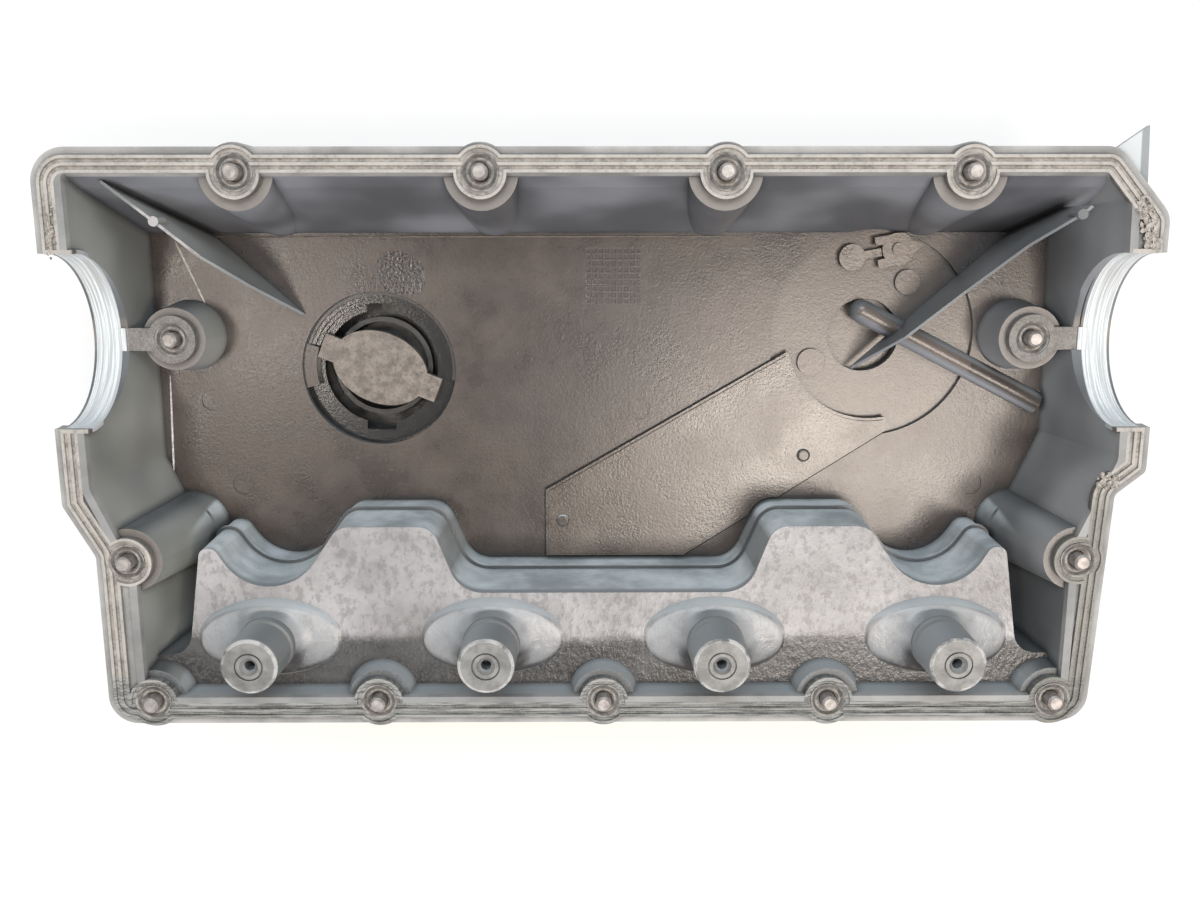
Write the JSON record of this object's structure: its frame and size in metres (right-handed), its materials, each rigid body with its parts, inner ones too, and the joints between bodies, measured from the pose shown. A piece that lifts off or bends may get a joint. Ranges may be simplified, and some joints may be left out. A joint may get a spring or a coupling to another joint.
{
  "type": "engine valve cover",
  "caption": "Plastic valve cover lying open side up, with captive screws, rim gasket, hollow posts on a ledge, filler cap key and crankcase breather disc.",
  "frame": {"origin": "in the sealing plane, midway between the back and front rows of rim screws, on the centre of the screw pitch", "axes": "+X along the engine, +Y across it towards the row of four screws, +Z out of the open side; the cover lies on its back"},
  "size_m": [0.41, 0.2282, 0.098],
  "materials": {
    "black_moulding": "moulded, semi-gloss, oily",
    "gasket_rubber": "moulded rubber, dusty",
    "screw_steel": "dull zinc",
    "sleeve_steel": "turned, dull",
    "bush_rubber": "moulded",
    "cap_plastic": "moulded, oily",
    "seal_rubber": "moulded",
    "plate_plastic": "moulded, semi-gloss, oily",
    "leaf_steel": "oily",
    "retainer_plastic": "moulded, oily",
    "rivet_plastic": "heat-formed head",
    "lid_plastic": "moulded",
    "diaphragm_rubber": "moulded",
    "plate_disc_plastic": "moulded",
    "spring_steel": "drawn wire"
  },
  "bodies": {
    "cover": {"cover_shell": "black_moulding", "rim_gasket": "gasket_rubber", "screw_sleeve_back_1": "sleeve_steel", "screw_sleeve_back_2": "sleeve_steel", "screw_sleeve_back_3": "sleeve_steel", "screw_sleeve_back_4": "sleeve_steel", "screw_sleeve_front_1": "sleeve_steel", "screw_sleeve_front_2": "sleeve_steel", "screw_sleeve_front_3": "sleeve_steel", "screw_sleeve_front_4": "sleeve_steel", "screw_sleeve_front_5": "sleeve_steel", "screw_sleeve_left_side": "sleeve_steel", "screw_sleeve_right_side": "sleeve_steel", "screw_sleeve_left_inner": "sleeve_steel", "screw_sleeve_right_inner": "sleeve_steel", "screw_bush_back_1": "bush_rubber", "screw_bush_back_2": "bush_rubber", "screw_bush_back_3": "bush_rubber", "screw_bush_back_4": "bush_rubber", "screw_bush_front_1": "bush_rubber", "screw_bush_front_2": "bush_rubber", "screw_bush_front_3": "bush_rubber", "screw_bush_front_4": "bush_rubber", "screw_bush_front_5": "bush_rubber", "screw_bush_left_side": "bush_rubber", "screw_bush_right_side": "bush_rubber", "screw_bush_left_inner": "bush_rubber", "screw_bush_right_inner": "bush_rubber", "channel_cover": "plate_plastic", "reed_valve_retainer": "retainer_plastic", "reed_valve_rivet": "rivet_plastic", "breather_lid": "lid_plastic", "diaphragm": "diaphragm_rubber", "cap_seal": "seal_rubber"},
    "screw_back_1": {"captive_screw_back_1": "screw_steel"},
    "screw_back_2": {"captive_screw_back_2": "screw_steel"},
    "screw_back_3": {"captive_screw_back_3": "screw_steel"},
    "screw_back_4": {"captive_screw_back_4": "screw_steel"},
    "screw_front_1": {"captive_screw_front_1": "screw_steel"},
    "screw_front_2": {"captive_screw_front_2": "screw_steel"},
    "screw_front_3": {"captive_screw_front_3": "screw_steel"},
    "screw_front_4": {"captive_screw_front_4": "screw_steel"},
    "screw_front_5": {"captive_screw_front_5": "screw_steel"},
    "screw_left_side": {"captive_screw_left_side": "screw_steel"},
    "screw_right_side": {"captive_screw_right_side": "screw_steel"},
    "screw_left_inner": {"captive_screw_left_inner": "screw_steel"},
    "screw_right_inner": {"captive_screw_right_inner": "screw_steel"},
    "filler_cap": {"oil_filler_cap": "cap_plastic"},
    "reed_leaf": {"reed_valve_leaf": "leaf_steel"},
    "breather_plate": {"diaphragm_plate": "plate_disc_plastic", "valve_spring": "spring_steel"}
  },
  "joints": [
    {"name": "screw_back_1_travel", "type": "slide", "parent": "cover", "child": "screw_back_1", "axis": [0, 0, 1], "range_m": [0, 0.01]},
    {"name": "screw_back_2_travel", "type": "slide", "parent": "cover", "child": "screw_back_2", "axis": [0, 0, 1], "range_m": [0, 0.01]},
    {"name": "screw_back_3_travel", "type": "slide", "parent": "cover", "child": "screw_back_3", "axis": [0, 0, 1], "range_m": [0, 0.01]},
    {"name": "screw_back_4_travel", "type": "slide", "parent": "cover", "child": "screw_back_4", "axis": [0, 0, 1], "range_m": [0, 0.01]},
    {"name": "screw_front_1_travel", "type": "slide", "parent": "cover", "child": "screw_front_1", "axis": [0, 0, 1], "range_m": [0, 0.01]},
    {"name": "screw_front_2_travel", "type": "slide", "parent": "cover", "child": "screw_front_2", "axis": [0, 0, 1], "range_m": [0, 0.01]},
    {"name": "screw_front_3_travel", "type": "slide", "parent": "cover", "child": "screw_front_3", "axis": [0, 0, 1], "range_m": [0, 0.01]},
    {"name": "screw_front_4_travel", "type": "slide", "parent": "cover", "child": "screw_front_4", "axis": [0, 0, 1], "range_m": [0, 0.01]},
    {"name": "screw_front_5_travel", "type": "slide", "parent": "cover", "child": "screw_front_5", "axis": [0, 0, 1], "range_m": [0, 0.01]},
    {"name": "screw_left_side_travel", "type": "slide", "parent": "cover", "child": "screw_left_side", "axis": [0, 0, 1], "range_m": [0, 0.01]},
    {"name": "screw_right_side_travel", "type": "slide", "parent": "cover", "child": "screw_right_side", "axis": [0, 0, 1], "range_m": [0, 0.01]},
    {"name": "screw_left_inner_travel", "type": "slide", "parent": "cover", "child": "screw_left_inner", "axis": [0, 0, 1], "range_m": [0, 0.01]},
    {"name": "screw_right_inner_travel", "type": "slide", "parent": "cover", "child": "screw_right_inner", "axis": [0, 0, 1], "range_m": [0, 0.01]},
    {"name": "filler_cap_turn", "type": "hinge", "parent": "cover", "child": "filler_cap", "pos_m": [-0.094, 0.0238, -0.0775], "axis": [0, 0, -1], "range_deg": [0, 70]},
    {"name": "reed_leaf_lift", "type": "hinge", "parent": "cover", "child": "reed_leaf", "pos_m": [0.1148, 0.07175, -0.05635], "axis": [-0.1822, 0.9833, 0], "range_deg": [0, 12]},
    {"name": "breather_plate_lift", "type": "slide", "parent": "cover", "child": "breather_plate", "axis": [0, 0, 1], "range_m": [0, 0.0015], "stiffness_N_per_m": 300, "springref_m": -0.001, "deforming": ["valve_spring"]}
  ]
}
